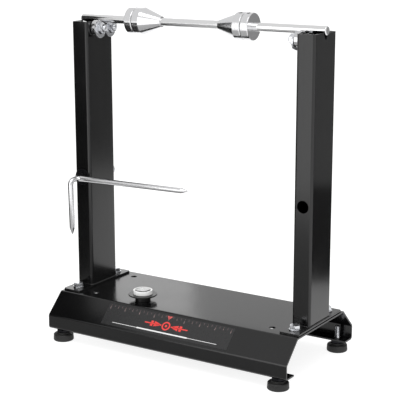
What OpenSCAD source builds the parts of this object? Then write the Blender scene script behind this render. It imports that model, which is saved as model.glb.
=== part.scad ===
// Motorcycle wheel balancing and truing stand, in millimetres.
// X runs along the wheel shaft, Y from front to back, Z up. The origin is on
// the ground, under the centre of the base.

/* [Base channel] */
// Length of the bent steel base, along X
base_len = 400; // [330:1:500]
// Depth of the base over its two flanges, along Y
base_w = 198; // [160:1:240]
// Depth of the flat top plate
base_top_w = 137; // [125:1:150]
// Height of the top plate above the ground
base_top_z = 67.7; // [50:0.1:90]
// Height of the lower edge of each sloped side
slope_foot_z = 38.2; // [30:0.1:50]
// Height of the underside of the inward lips
lip_z = 17; // [14:0.1:26]
// How far each lip turns inward
lip_w = 22; // [20:0.5:30]
// Thickness of the base sheet
base_t = 2.5; // [1.5:0.1:3.2]
// Outer radius of the sheet's bends
bend_r = 4.5; // [3.5:0.5:8]
// Distance from each foot plate to its spare holes, along X
spare_hole_out = 18.8; // [12:0.1:80]
// Distance between the spare holes, along Y
spare_hole_y = 96; // [60:1:110]
// Diameter of the spare holes
spare_hole_d = 9; // [6:0.5:12]

/* [Posts] */
// Width of each post's tube, along X
post_w = 27.5; // [20:0.5:40]
// Depth of each post's tube, along Y
post_d = 61; // [50:0.5:80]
// Length of each post
post_len = 393.8; // [250:0.1:520]
// Wall of the post's tube
post_t = 2; // [1.5:0.1:3]
// Outer corner radius of the post's tube
post_r = 4; // [3.5:0.5:6]
// Thickness of the foot plate under each post
plate_t = 3; // [2:0.5:6]
// How far the foot plate stands out past the tube, along X
plate_rim = 1.25; // [1:0.25:4]
// Distance from the tube's front and rear faces to the foot plate's bolts
plate_bolt_out = 16.5; // [12:0.5:20]
// Distance from these bolts to the ends of the foot plate
plate_bolt_rim = 17; // [10:0.5:19]
// Gap between the foot plate and the end of the base
plate_inset = 1.2; // [0.5:0.1:10]
// Diameter of the pointer socket through each post's front wall
socket_d = 17; // [14:0.5:20]
// Height of the pointer socket above the ground
socket_z = 236.4; // [180:0.1:330]

/* [Shaft] */
// Diameter of the wheel shaft
shaft_d = 12; // [8:0.5:16]
// How far the shaft stands out past the base at each end
shaft_out = 0; // [0:1:20]
// Chamfer on the shaft's ends
shaft_chamfer = 1; // [0.5:0.1:2]

/* [Bearings] */
// Outer diameter of each ball bearing
bearing_od = 22; // [19:0.1:28]
// Width of each ball bearing
bearing_w = 7; // [6:0.1:9]
// Diameter of the balls
ball_d = 3.969; // [3:0.001:4.2]
// Number of balls in each bearing
ball_count = 7; // [5:1:7]
// Gap between the front and the rear bearing of a pair
bearing_gap = 2; // [1:0.1:6]
// Depth of the bearing bolts below the top of the post
bearing_drop = 9.4; // [8:0.1:16]
// Thickness of the spacer between the post and the bearing
spacer_t = 1; // [0.5:0.1:3]
// Thickness of the shim between the bearing and the guard washer
shim_t = 0.5; // [0.3:0.1:2]
// Gap between the two guard washers of a pair
guard_gap = 0.2; // [0.1:0.1:3]
// Hole of the guard washer, which hangs on the bolt
guard_bore = 13; // [9:0.5:14]
// Thickness of the guard washer
guard_t = 2.5; // [1:0.1:3]

/* [Cones and collars] */
// Largest diameter of the centring cones
cone_d = 38; // [30:0.5:46]
// Wall of the cone round the shaft at its small end
cone_tip_wall = 1.45; // [1:0.05:4]
// Length of the tapered part
cone_taper = 30; // [20:0.5:40]
// Length of the straight part behind the taper
cone_barrel = 11.5; // [10:0.5:16]
// Width of the lock collar behind each cone
collar_w = 12; // [10:0.5:16]
// Gap between a cone and its lock collar
collar_gap = 0.5; // [0.3:0.1:3]
// Distance from the left bearing bolts to the left collar, along the shaft
left_collar_out = 36; // [5:0.5:50]
// Distance from the right bearing bolts to the right collar, along the shaft
right_collar_out = 60; // [5:0.5:60]
// Diameter of the set screws in the cones and collars
set_screw_d = 5; // [4:0.5:8]
// Turn of the right set screws from straight up towards the front, in degrees
right_screw_turn = 13; // [-180:1:180]
// Turn of the left set screws from straight up towards the front, in degrees
left_screw_turn = -120; // [-180:1:180]

/* [Pointer] */
// Diameter of the pointer rod
rod_d = 8; // [5:0.5:9]
// Reach of the long arm from the pivot to its tip
arm_reach = 193.8; // [140:0.1:220]
// Length of the short arm from the pivot to its tip
short_reach = 81; // [50:1:120]
// Distance from the post's face to the long arm
arm_offset = 13; // [11:0.5:24]
// Distance from the long arm to the short arm, along Y
arm_step = 16.5; // [16:0.5:30]
// Centre-line radius of the rod's bends
rod_bend_r = 8; // [7:0.5:8]
// Length of the pointed ends
rod_point = 10; // [5:1:16]
// Upward tilt of the long arm, in degrees
arm_tilt = 1; // [-5:0.5:5]
// Diameter of the pivot pin's boss
boss_d = 15.5; // [12:0.5:16]
// Diameter of the pivot pin's flange
flange_d = 24; // [21:0.5:28]
// Diameter of the knurled clamp nut behind the post
clamp_nut_d = 16; // [13:0.5:30]
// Thickness of the knurled clamp nut
clamp_nut_h = 6.5; // [5:0.5:20]

/* [Levelling feet] */
// Diameter of each rubber foot
foot_d = 30; // [22:0.5:36]
// Height of each rubber foot
foot_h = 12.5; // [9:0.1:13]
// Distance from the end of the base to each foot
foot_inset = 18; // [16:0.5:40]
// Height of the top of each stud
stud_top_z = 37; // [32:0.5:44]
// Width across flats of the lock nut under each lip
lock_nut_af = 17; // [13:0.5:18]

/* [Bull's-eye level] */
// Place of the level along X
level_x = -70.1; // [-110:0.1:-40]
// Place of the level along Y
level_y = -40.7; // [-45:0.1:45]
// Diameter of the level's flange
level_flange_d = 41.5; // [36:0.5:50]
// Thickness of the level's flange
level_flange_t = 2; // [1.5:0.1:4]
// Diameter of the pedestal under the flange
pedestal_d = 22.5; // [16:0.5:30]
// Height of the pedestal
pedestal_h = 7.5; // [4:0.5:12]
// Diameter of the level's cup
cup_d = 28; // [24:0.5:34]
// Height of the level's cup
cup_h = 6; // [5:0.1:10]
// Wall of the level's cup
cup_t = 2.3; // [1:0.1:4]

/* [Scale label] */
// Length of the scale label on the front slope
label_len = 212; // [150:1:260]
// Distance from the label to the corners of the slope
label_edge = 4.2; // [3:0.1:10]
// Thickness of the scale label
label_t = 0.3; // [0.2:0.1:0.6]

/* [Fasteners] */
// Shank diameter of the eight-millimetre bolts and studs
bolt_d = 7.9; // [6:0.1:8.3]
// Width across flats of their heads and nuts
hex_af = 13; // [11:0.5:14]
// Height of their heads
head_h = 5.3; // [4:0.1:7]
// Height of their nuts
nut_h = 6.5; // [5:0.1:8]
// Length of thread that shows past a nut
thread_out = 3; // [1.5:0.5:6]
// Outer diameter of the plain washers
washer_d = 16; // [14:0.5:20]
// Thickness of the plain washers
washer_t = 1.6; // [1:0.1:2]

/* [Fits] */
// Gap round a shaft, pin or thread in its hole, on the radius
fit_gap = 0.05; // [0.02:0.01:0.1]
// Gap between pieces that move past each other
move_gap = 0.3; // [0.2:0.05:0.5]
// Gap round a bolt in its clearance hole, on the radius
bolt_gap = 0.5; // [0.2:0.1:1]

/* [Hidden] */
$fn = 96;

// Colours
black_coat = "#1f1f20";
bright_steel = "#c8c9cb";
zinc = "#b4b6ba";
rubber = "#151515";
white_plastic = "#ececec";

// Places worked out from the sizes above
left = -1;
right = 1;
front = -1;
rear = 1;
plate_w = post_w + 2 * plate_rim;
plate_corner_r = 3;
plate_bolt_span = post_d + 2 * plate_bolt_out;
plate_d = plate_bolt_span + 2 * plate_bolt_rim;
post_x = base_len / 2 - plate_inset - plate_w / 2;
post_foot_z = base_top_z + plate_t;
post_top_z = post_foot_z + post_len;
inner_face_x = post_x - post_w / 2;
bolt_hole_d = bolt_d + 2 * bolt_gap;
nut_bore = bolt_d + 2 * fit_gap;
hex_corner = 1 / cos(30);
thread_chamfer = 1;
plate_bolt_len = washer_t + plate_t + base_t + nut_h + thread_out;
spare_hole_x = 2 * (post_x - plate_w / 2 - spare_hole_out);

bearing_y = (bearing_od + bearing_gap) / 2;
bearing_z = post_top_z - bearing_drop;
bearing_bolt_head_x = inner_face_x + post_t;
bearing_face_x = inner_face_x - spacer_t;
bearing_mid_x = bearing_face_x - bearing_w / 2;
shim_x = bearing_face_x - bearing_w;
guard_x = shim_x - shim_t;
guard_d = 2 * bearing_y - guard_gap;
guard_sag = (guard_bore - bolt_d) / 2;
bearing_nut_x = guard_x - guard_t;
bolt_end_x = bearing_nut_x - nut_h - thread_out;
pitch_r = (bearing_od + nut_bore) / 4;
race_share = 0.75;
inner_ring_r = pitch_r - race_share * ball_d / 2;
outer_ring_r = pitch_r + race_share * ball_d / 2;
groove_r = ball_d / 2 + fit_gap;
shield_t = 0.3;
shield_set = 0.5;
cage_back = bearing_w / 2 - shield_set - shield_t - move_gap;
cage_front = 1.2;
cage_t = 1.2;
cage_gap = 0.1;

shaft_r = shaft_d / 2;
shaft_len = base_len + 2 * shaft_out;
centre_gap = bearing_od / 2 + shaft_r + fit_gap;
shaft_z = bearing_z + sqrt(centre_gap * centre_gap - bearing_y * bearing_y);
notch_top_w = shaft_d + 2;
notch_foot_w = 3;
notch_clear = 5.6;
notch_depth = post_top_z - shaft_z + shaft_r + notch_clear;

cone_len = cone_taper + cone_barrel;
cone_bore = shaft_d + 2 * fit_gap;
cone_tip_d = cone_bore + 2 * cone_tip_wall;
cone_screw_z = collar_w + collar_gap + cone_barrel / 2;
left_collar_x = -(bolt_end_x - left_collar_out);
right_collar_x = bolt_end_x - right_collar_out;
turned_chamfer = 0.8;
screw_set = 0.5;
screw_len = cone_d / 2 - shaft_r - fit_gap - screw_set;
screw_socket = 2.5;

arm_y = -post_d / 2 - arm_offset;
short_arm_y = arm_y - arm_step;
pin_d = socket_d - 2 * fit_gap;
flange_t = 2;
flange_y = -post_d / 2 - move_gap - flange_t;
pin_neck_d = 10;
boss_y = arm_y + rod_d / 2 + 1.5;
spigot_end_y = -post_d / 2 + post_t + 1.5;
rod_tip_d = 1.5;
// X of the long arm's bend, measured from the pivot
bend_x = rod_bend_r;
pin_washer_d = washer_d + 4;
pin_washer_y = post_d / 2 + move_gap;
clamp_nut_y = pin_washer_y + washer_t + move_gap;
flute_count = 16;
flute_d = 2.4;
nut_collar_h = 1.5;

foot_x = base_len / 2 - foot_inset;
foot_y = base_w / 2 - lip_w / 2 - 0.5;
foot_neck_h = 2.5;
foot_neck_d = 20;
foot_edge = 1;
foot_draft = 0.5;
stud_sunk = 7;
stud_foot_z = foot_h - stud_sunk;
lock_nut_z = foot_h + move_gap;

flange_z = base_top_z + pedestal_h;
cup_z = flange_z + level_flange_t;
cup_floor = 1.2;
lens_t = 1.8;
cup_bore_r = cup_d / 2 - cup_t;
lens_z = cup_z + cup_h - lens_t - 0.2;
bubble_r = 8;
bubble_h = 0.9;

slope_run = (base_w - base_top_w) / 2;
slope_rise = base_top_z - slope_foot_z;
slope_len = norm([slope_run, slope_rise]);
slope_angle = atan2(slope_rise, slope_run);
label_w = slope_len - 2 * label_edge;

// Outline of a bent sheet: each corner is an arc about a centre inside the bend
function unit(v) = v / norm(v);
function bend_steps() = 8;
function bend_arc(a, b, c, r, t) =
    let (
        u = unit(a - b),
        w = unit(c - b),
        half = acos(u * w) / 2,
        centre = b + unit(u + w) * r / sin(half),
        p0 = b + u * r / tan(half) - centre,
        p1 = b + w * r / tan(half) - centre,
        from = atan2(p0.y, p0.x),
        turn = (atan2(p1.y, p1.x) - from + 540) % 360 - 180
    )
    [for (i = [0:bend_steps()]) let (q = from + turn * i / bend_steps())
        centre + (r - t) * [cos(q), sin(q)]];
function base_corners() = [
    [-base_w / 2 + lip_w, lip_z], [-base_w / 2, lip_z],
    [-base_w / 2, slope_foot_z], [-base_top_w / 2, base_top_z],
    [base_top_w / 2, base_top_z], [base_w / 2, slope_foot_z],
    [base_w / 2, lip_z], [base_w / 2 - lip_w, lip_z]
];
function base_line(t) =
    let (c = base_corners())
    concat(
        [c[0] + [0, t]],
        [for (i = [1:6]) each bend_arc(c[i - 1], c[i], c[i + 1], bend_r, t)],
        [c[7] + [0, t]]
    );
function backwards(points) = [for (i = [len(points) - 1:-1:0]) points[i]];

// Shapes shared by several pieces
module along_x() {
    rotate([0, 90, 0]) children();
}

module along_y() {
    rotate([-90, 0, 0]) children();
}

module ring(d, bore, h) {
    difference() {
        cylinder(d = d, h = h);
        translate([0, 0, -1]) cylinder(d = bore, h = h + 2);
    }
}

module round_rect(w, d, r) {
    square([w - 2 * r, d], center = true);
    square([w, d - 2 * r], center = true);
    for (x = [left, right], y = [front, rear])
        translate([x * (w / 2 - r), y * (d / 2 - r)]) circle(r = r);
}

// A hexagonal block with its corners turned down at both ends or at the top
module hex_block(af, h, both_ends = false) {
    corner_d = af * hex_corner;
    bevel = (corner_d - af) / 2 * tan(30) + 0.2;
    intersection() {
        cylinder(d = corner_d, h = h, $fn = 6);
        rotate_extrude() polygon([
            [0, 0], [both_ends ? af / 2 : corner_d, 0], [corner_d / 2 + 0.2, both_ends ? bevel : 0],
            [corner_d / 2 + 0.2, h - bevel], [af / 2, h], [0, h]
        ]);
    }
}

module hex_nut(af, h, bore) {
    difference() {
        hex_block(af, h, true);
        translate([0, 0, -1]) cylinder(d = bore, h = h + 2);
    }
}

// A bolt with its head's underside at z = 0 and its shank pointing down
module hex_bolt(length) {
    hex_block(hex_af, head_h);
    translate([0, 0, thread_chamfer - length]) cylinder(d = bolt_d, h = length - thread_chamfer / 2);
    translate([0, 0, -length])
        cylinder(d1 = bolt_d - 2 * thread_chamfer, d2 = bolt_d, h = thread_chamfer);
}

// Base
module base_channel() color(black_coat) {
    difference() {
        translate([-base_len / 2, 0, 0]) rotate([90, 0, 90]) linear_extrude(base_len)
            polygon(concat(base_line(0), backwards(base_line(base_t))));
        for (x = [left, right], y = [front, rear]) {
            translate([x * spare_hole_x / 2, y * spare_hole_y / 2, base_top_z - 10])
                cylinder(d = spare_hole_d, h = 20);
            translate([x * post_x, y * plate_bolt_span / 2, base_top_z - 10])
                cylinder(d = bolt_hole_d, h = 20);
            translate([x * foot_x, y * foot_y, lip_z - 5])
                cylinder(d = bolt_hole_d, h = base_t + 10);
        }
    }
}

// Posts
module foot_plate(side) color(black_coat) {
    difference() {
        translate([side * post_x, 0, base_top_z]) linear_extrude(plate_t)
            round_rect(plate_w, plate_d, plate_corner_r);
        for (y = [front, rear])
            translate([side * post_x, y * plate_bolt_span / 2, base_top_z - 1])
                cylinder(d = bolt_hole_d, h = plate_t + 2);
    }
}

module notch() {
    rotate([90, 0, 90]) linear_extrude(post_w + 10, center = true) polygon([
        [-notch_top_w / 2, 0], [-notch_foot_w / 2, -notch_depth],
        [notch_foot_w / 2, -notch_depth], [notch_top_w / 2, 0],
        [notch_top_w / 2, 5], [-notch_top_w / 2, 5]
    ]);
}

module post(side) color(black_coat) {
    difference() {
        translate([side * post_x, 0, post_foot_z]) linear_extrude(post_len) difference() {
            round_rect(post_w, post_d, post_r);
            round_rect(post_w - 2 * post_t, post_d - 2 * post_t, post_r - post_t);
        }
        translate([side * post_x, 0, post_top_z]) notch();
        translate([side * post_x, -post_d / 2 - 5, socket_z]) along_y()
            cylinder(d = socket_d, h = post_d / 2);
        translate([side * post_x, post_d / 2 + 5, socket_z]) mirror([0, 1, 0]) along_y()
            cylinder(d = bolt_hole_d, h = post_d / 2);
        for (y = [front, rear])
            translate([side * inner_face_x, y * bearing_y, bearing_z]) along_x()
                cylinder(d = bolt_hole_d, h = 2 * post_t + 4, center = true);
    }
}

// Bolts that hold the foot plates down
module at_plate_bolts(z) {
    for (x = [left, right], y = [front, rear])
        translate([x * post_x, y * plate_bolt_span / 2, z]) children();
}

module plate_bolts() color(zinc)
    at_plate_bolts(post_foot_z + washer_t) hex_bolt(plate_bolt_len);

module plate_washers() color(zinc)
    at_plate_bolts(post_foot_z) ring(washer_d, nut_bore, washer_t);

module plate_nuts() color(zinc)
    at_plate_bolts(base_top_z - base_t - nut_h) hex_nut(hex_af, nut_h, nut_bore);

// Bearings: a pair on the inner face of each post, axes along X.
// Children are drawn with their axis on Z and Z pointing from the post to the wheel.
module at_bearing(side, row, x) {
    translate([side * x, row * bearing_y, bearing_z]) rotate([0, -90 * side, 0]) children();
}

module at_bearings(x) {
    for (side = [left, right], row = [front, rear]) at_bearing(side, row, x) children();
}

module bearing_bolts() color(zinc)
    at_bearings(bearing_bolt_head_x) mirror([0, 0, 1]) hex_bolt(bearing_bolt_head_x - bolt_end_x);

module bearing_spacers() color(zinc)
    at_bearings(inner_face_x) ring(2 * inner_ring_r, nut_bore, spacer_t);

module bearing_shims() color(zinc)
    at_bearings(shim_x) ring(2 * inner_ring_r, nut_bore, shim_t);

module guard_washers() color(zinc)
    translate([0, 0, -guard_sag + fit_gap]) at_bearings(guard_x)
        ring(guard_d, guard_bore, guard_t);

module bearing_nuts() color(zinc)
    at_bearings(bearing_nut_x) hex_nut(hex_af, nut_h, nut_bore);

module race(inner, outer) {
    difference() {
        ring(2 * outer, 2 * inner, bearing_w);
        translate([0, 0, bearing_w / 2]) rotate_extrude() translate([pitch_r, 0]) circle(r = groove_r);
    }
}

module inner_ring(side, row) color(bright_steel)
    at_bearing(side, row, bearing_face_x) race(nut_bore / 2, inner_ring_r);

module outer_ring(side, row) color(bright_steel)
    at_bearing(side, row, bearing_face_x) race(outer_ring_r, bearing_od / 2);

// Seven balls and the crown-shaped cage that spaces them
module balls(side, row) color(bright_steel)
    at_bearing(side, row, bearing_mid_x) {
        at_balls() sphere(d = ball_d);
        difference() {
            translate([0, 0, -cage_front])
                ring(2 * pitch_r + cage_t, 2 * pitch_r - cage_t, cage_back + cage_front);
            at_balls() sphere(r = ball_d / 2 + cage_gap);
        }
    }

module at_balls() {
    for (i = [0:ball_count - 1])
        rotate([0, 0, i * 360 / ball_count]) translate([pitch_r, 0, 0]) children();
}

module shields(side, row) color(zinc)
    at_bearing(side, row, bearing_mid_x)
        for (z = [-1, 1])
            translate([0, 0, z * (bearing_w / 2 - shield_set - shield_t / 2) - shield_t / 2])
                ring(2 * outer_ring_r, 2 * (inner_ring_r + move_gap), shield_t);

// Shaft with its cones and lock collars
module shaft() color(bright_steel)
    translate([-shaft_len / 2, 0, shaft_z]) along_x() rotate_extrude() polygon([
        [0, 0], [shaft_r - shaft_chamfer, 0], [shaft_r, shaft_chamfer],
        [shaft_r, shaft_len - shaft_chamfer], [shaft_r - shaft_chamfer, shaft_len], [0, shaft_len]
    ]);

// Turned pieces are drawn with z = 0 at the collar's outer face, and Z along the shaft
// towards the middle of the stand
module on_shaft(side) {
    collar_x = side == left ? left_collar_x : right_collar_x;
    translate([collar_x, 0, shaft_z]) rotate([0, -90 * side, 0]) children();
}

// Children point outwards from the shaft's axis, along a set screw
module at_screw(side, z) {
    screw_turn = side == left ? left_screw_turn : right_screw_turn;
    translate([0, 0, z]) rotate([0, 0, -side * screw_turn]) rotate([0, 90 * side, 0]) children();
}

module screw_hole(side, z) {
    at_screw(side, z) cylinder(d = set_screw_d + 2 * fit_gap, h = cone_d);
}

module set_screw(side, z) {
    at_screw(side, z) difference() {
        translate([0, 0, shaft_r + fit_gap]) cylinder(d = set_screw_d, h = screw_len);
        translate([0, 0, shaft_r + screw_len - screw_socket])
            cylinder(d = set_screw_d / 2 * hex_corner, h = 2 * screw_socket, $fn = 6);
    }
}

module cone(side) color(bright_steel)
    on_shaft(side) difference() {
        translate([0, 0, collar_w + collar_gap]) rotate_extrude() polygon([
            [cone_bore / 2, 0], [cone_d / 2 - turned_chamfer, 0], [cone_d / 2, turned_chamfer],
            [cone_d / 2, cone_barrel], [cone_tip_d / 2, cone_len], [cone_bore / 2, cone_len]
        ]);
        screw_hole(side, cone_screw_z);
    }

module collar(side) color(bright_steel)
    on_shaft(side) difference() {
        rotate_extrude() polygon([
            [cone_bore / 2, 0], [cone_d / 2 - turned_chamfer, 0], [cone_d / 2, turned_chamfer],
            [cone_d / 2, collar_w - turned_chamfer], [cone_d / 2 - turned_chamfer, collar_w],
            [cone_bore / 2, collar_w]
        ]);
        screw_hole(side, collar_w / 2);
    }

module cone_screw(side) color(black_coat)
    on_shaft(side) set_screw(side, cone_screw_z);

module collar_screw(side) color(black_coat)
    on_shaft(side) set_screw(side, collar_w / 2);

// Levelling feet
module at_foot(x, y, z) {
    translate([x * foot_x, y * foot_y, z]) children();
}

module foot(x, y) color(rubber)
    at_foot(x, y, 0) rotate_extrude() polygon([
        [0, 0], [foot_d / 2 - foot_edge, 0], [foot_d / 2, foot_edge],
        [foot_d / 2 - foot_draft, foot_h - foot_neck_h - foot_edge],
        [foot_d / 2 - foot_draft - foot_edge, foot_h - foot_neck_h],
        [foot_neck_d / 2, foot_h - foot_neck_h],
        [foot_neck_d / 2, foot_h], [bolt_d / 2, foot_h], [bolt_d / 2, stud_foot_z], [0, stud_foot_z]
    ]);

module stud(x, y) color(zinc)
    at_foot(x, y, stud_foot_z) {
        cylinder(d = bolt_d, h = stud_top_z - stud_foot_z - thread_chamfer);
        translate([0, 0, stud_top_z - stud_foot_z - thread_chamfer])
            cylinder(d1 = bolt_d, d2 = bolt_d - 2 * thread_chamfer, h = thread_chamfer);
    }

module lock_nuts() color(black_coat)
    for (x = [left, right], y = [front, rear])
        at_foot(x, y, lock_nut_z) hex_nut(lock_nut_af, lip_z - lock_nut_z, nut_bore + 2 * fit_gap);

// Bull's-eye level
module at_level(z) {
    translate([level_x, level_y, z]) children();
}

module level_base() color(black_coat)
    at_level(base_top_z) {
        cylinder(d = pedestal_d, h = pedestal_h);
        translate([0, 0, pedestal_h]) cylinder(d = level_flange_d, h = level_flange_t);
    }

module level_cup() color(white_plastic)
    at_level(cup_z) difference() {
        cylinder(d = cup_d, h = cup_h);
        translate([0, 0, cup_floor]) cylinder(r = cup_bore_r, h = cup_h);
    }

module bubble_shape() {
    intersection() {
        translate([0, 0, lens_z + bubble_r - bubble_h]) sphere(r = bubble_r);
        translate([0, 0, lens_z - bubble_h]) cylinder(r = bubble_r, h = bubble_h);
    }
}

module level_fluid() color("#d9e3da")
    at_level(0) difference() {
        translate([0, 0, cup_z + cup_floor]) cylinder(r = cup_bore_r, h = lens_z - cup_z - cup_floor);
        bubble_shape();
    }

module level_bubble() color("#f4f6f4")
    at_level(0) bubble_shape();

module level_lens() color("#f0f4f6")
    at_level(lens_z) cylinder(r = cup_bore_r, h = lens_t);

// Pointer, drawn about its pivot: Y along the pin, X along the long arm
module at_pivot() {
    translate([-post_x, 0, socket_z]) children();
}

module rod_end(length) {
    cylinder(d = rod_d, h = length - rod_point);
    translate([0, 0, length - rod_point]) cylinder(d1 = rod_d, d2 = rod_tip_d, h = rod_point);
}

module rod_bend() {
    rotate([0, 0, 90]) rotate_extrude(angle = 90) translate([rod_bend_r, 0]) circle(d = rod_d);
}

module pointer_rod() color(bright_steel)
    at_pivot() rotate([0, -arm_tilt, 0]) {
        translate([bend_x, arm_y, 0]) along_x() rod_end(arm_reach - bend_x);
        translate([bend_x, arm_y - rod_bend_r, 0]) rod_bend();
        translate([bend_x - rod_bend_r, arm_y - rod_bend_r, 0]) rotate([90, 0, 0])
            cylinder(d = rod_d, h = arm_step - 2 * rod_bend_r + 0.01);
        translate([bend_x - rod_bend_r, short_arm_y + rod_bend_r, -rod_bend_r])
            rotate([90, 0, 90]) rod_bend();
        translate([bend_x - rod_bend_r, short_arm_y, -rod_bend_r]) mirror([0, 0, 1])
            rod_end(short_reach - rod_bend_r);
    }

module pointer_pin() color(black_coat)
    at_pivot() {
        translate([0, arm_y, 0]) along_y() cylinder(d = pin_neck_d, h = boss_y - arm_y);
        translate([0, boss_y, 0]) along_y() cylinder(d = boss_d, h = flange_y - boss_y);
        translate([0, flange_y, 0]) along_y() cylinder(d = flange_d, h = flange_t);
        translate([0, flange_y + flange_t, 0]) along_y()
            cylinder(d = pin_d, h = spigot_end_y - flange_y - flange_t);
        translate([0, spigot_end_y, 0]) along_y()
            cylinder(d = bolt_d, h = clamp_nut_y + clamp_nut_h + thread_out - spigot_end_y);
    }

module pointer_washer() color(zinc)
    at_pivot() translate([0, pin_washer_y, 0]) along_y() ring(pin_washer_d, nut_bore, washer_t);

// Round thumb nut with flutes for grip and a smooth collar against the washer
module clamp_nut() color(zinc)
    at_pivot() translate([0, clamp_nut_y, 0]) along_y() difference() {
        cylinder(d = clamp_nut_d, h = clamp_nut_h);
        for (i = [0:flute_count - 1])
            rotate([0, 0, i * 360 / flute_count]) translate([clamp_nut_d / 2 + 0.5, 0, nut_collar_h])
                cylinder(d = flute_d, h = clamp_nut_h);
        translate([0, 0, -1]) cylinder(d = nut_bore, h = clamp_nut_h + 2);
    }

// Thin label on the front slope
module scale_label() color("#303133")
    translate([0, -base_top_w / 2, base_top_z]) rotate([slope_angle, 0, 0])
        translate([-label_len / 2, -(slope_len + label_w) / 2, 0]) cube([label_len, label_w, label_t]);

base_channel();
foot_plate(left);  // foot_plate_left
foot_plate(right);  // foot_plate_right
post(left);  // post_left
post(right);  // post_right
plate_bolts();
plate_washers();
plate_nuts();
bearing_bolts();
bearing_spacers();
bearing_shims();
guard_washers();
bearing_nuts();
inner_ring(left, front);  // inner_ring_lf
inner_ring(left, rear);  // inner_ring_lr
inner_ring(right, front);  // inner_ring_rf
inner_ring(right, rear);  // inner_ring_rr
outer_ring(left, front);  // outer_ring_lf
outer_ring(left, rear);  // outer_ring_lr
outer_ring(right, front);  // outer_ring_rf
outer_ring(right, rear);  // outer_ring_rr
balls(left, front);  // balls_lf
balls(left, rear);  // balls_lr
balls(right, front);  // balls_rf
balls(right, rear);  // balls_rr
shields(left, front);  // shields_lf
shields(left, rear);  // shields_lr
shields(right, front);  // shields_rf
shields(right, rear);  // shields_rr
shaft();
cone(left);  // cone_left
cone(right);  // cone_right
collar(left);  // collar_left
collar(right);  // collar_right
cone_screw(left);  // cone_screw_left
cone_screw(right);  // cone_screw_right
collar_screw(left);  // collar_screw_left
collar_screw(right);  // collar_screw_right
foot(left, front);  // foot_fl
foot(right, front);  // foot_fr
foot(left, rear);  // foot_rl
foot(right, rear);  // foot_rr
stud(left, front);  // stud_fl
stud(right, front);  // stud_fr
stud(left, rear);  // stud_rl
stud(right, rear);  // stud_rr
lock_nuts();
level_base();
level_cup();
level_fluid();
level_bubble();
level_lens();
pointer_rod();
pointer_pin();
pointer_washer();
clamp_nut();
scale_label();
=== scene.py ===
import math

import bmesh
import bpy
from mathutils import Matrix, Vector


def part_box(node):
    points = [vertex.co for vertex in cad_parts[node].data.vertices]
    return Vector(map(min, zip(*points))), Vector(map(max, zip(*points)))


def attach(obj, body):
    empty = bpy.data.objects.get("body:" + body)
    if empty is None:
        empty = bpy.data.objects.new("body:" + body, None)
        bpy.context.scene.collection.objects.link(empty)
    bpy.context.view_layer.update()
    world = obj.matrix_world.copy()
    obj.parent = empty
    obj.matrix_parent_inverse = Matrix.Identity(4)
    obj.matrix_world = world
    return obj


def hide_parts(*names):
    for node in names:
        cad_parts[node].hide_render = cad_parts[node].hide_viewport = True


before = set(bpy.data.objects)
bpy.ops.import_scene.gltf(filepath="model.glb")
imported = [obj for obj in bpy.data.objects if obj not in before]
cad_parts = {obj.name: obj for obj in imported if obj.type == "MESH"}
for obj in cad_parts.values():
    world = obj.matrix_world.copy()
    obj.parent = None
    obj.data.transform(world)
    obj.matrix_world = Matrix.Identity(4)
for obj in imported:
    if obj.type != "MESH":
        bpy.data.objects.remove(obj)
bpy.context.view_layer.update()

scene = bpy.context.scene
MM = 0.001


# ---- Studio -------------------------------------------------------------------------------
# A white table under a large overhead softbox, seen from the right-hand corner with
# a long lens.
LENS_MM = 109.27
CAMERA_PLACE = (0.91351, -1.41928, 0.60901)
CAMERA_AZIMUTH = 32.43
CAMERA_DOWN = 13.22
CAMERA_ROLL = 0.04
CAMERA_SHIFT = (-0.0127, 0.0087)
SENSOR_WIDTH_MM = 36


def linear(hex_colour):
    """An sRGB hex value, such as "#1a1a1b", as linear RGBA."""
    def channel(c):
        return c / 12.92 if c <= 0.04045 else ((c + 0.055) / 1.055) ** 2.4
    return tuple(channel(int(hex_colour[i:i + 2], 16) / 255) for i in (1, 3, 5)) + (1.0,)


def add_node(tree, kind, links=(), values=(), **settings):
    """Adds a node, sets its properties and socket values, and links its inputs."""
    node = tree.nodes.new(kind)
    for name, value in settings.items():
        setattr(node, name, value)
    for socket, value in dict(values).items():
        node.inputs[socket].default_value = value
    for socket, source in dict(links).items():
        tree.links.new(source, node.inputs[socket])
    return node


def add_object(name, mesh, material=None):
    obj = bpy.data.objects.new(name, mesh)
    scene.collection.objects.link(obj)
    if material is not None:
        obj.data.materials.clear()
        obj.data.materials.append(material)
    return obj


def new_material(name, **shader_values):
    """A material with a Principled shader. Returns it with its tree and shader."""
    material = bpy.data.materials.new(name)
    material.use_nodes = True
    tree = material.node_tree
    shader = tree.nodes["Principled BSDF"]
    for socket, value in shader_values.items():
        shader.inputs[socket.replace("_", " ")].default_value = value
    return material, tree, shader


def panel(name, corners, material):
    mesh = bpy.data.meshes.new(name)
    mesh.from_pydata(corners, [], [range(len(corners))])
    obj = add_object(name, mesh, material)
    return obj


camera_data = bpy.data.cameras.new("camera")
camera_data.lens = LENS_MM
camera_data.sensor_width = SENSOR_WIDTH_MM
camera_data.shift_x, camera_data.shift_y = CAMERA_SHIFT
camera = bpy.data.objects.new("camera", camera_data)
camera.location = CAMERA_PLACE
camera_turns = (90 - CAMERA_DOWN, CAMERA_ROLL, CAMERA_AZIMUTH)
camera.rotation_euler = [math.radians(a) for a in camera_turns]
scene.collection.objects.link(camera)
scene.camera = camera
scene.view_settings.view_transform = "Standard"

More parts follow.
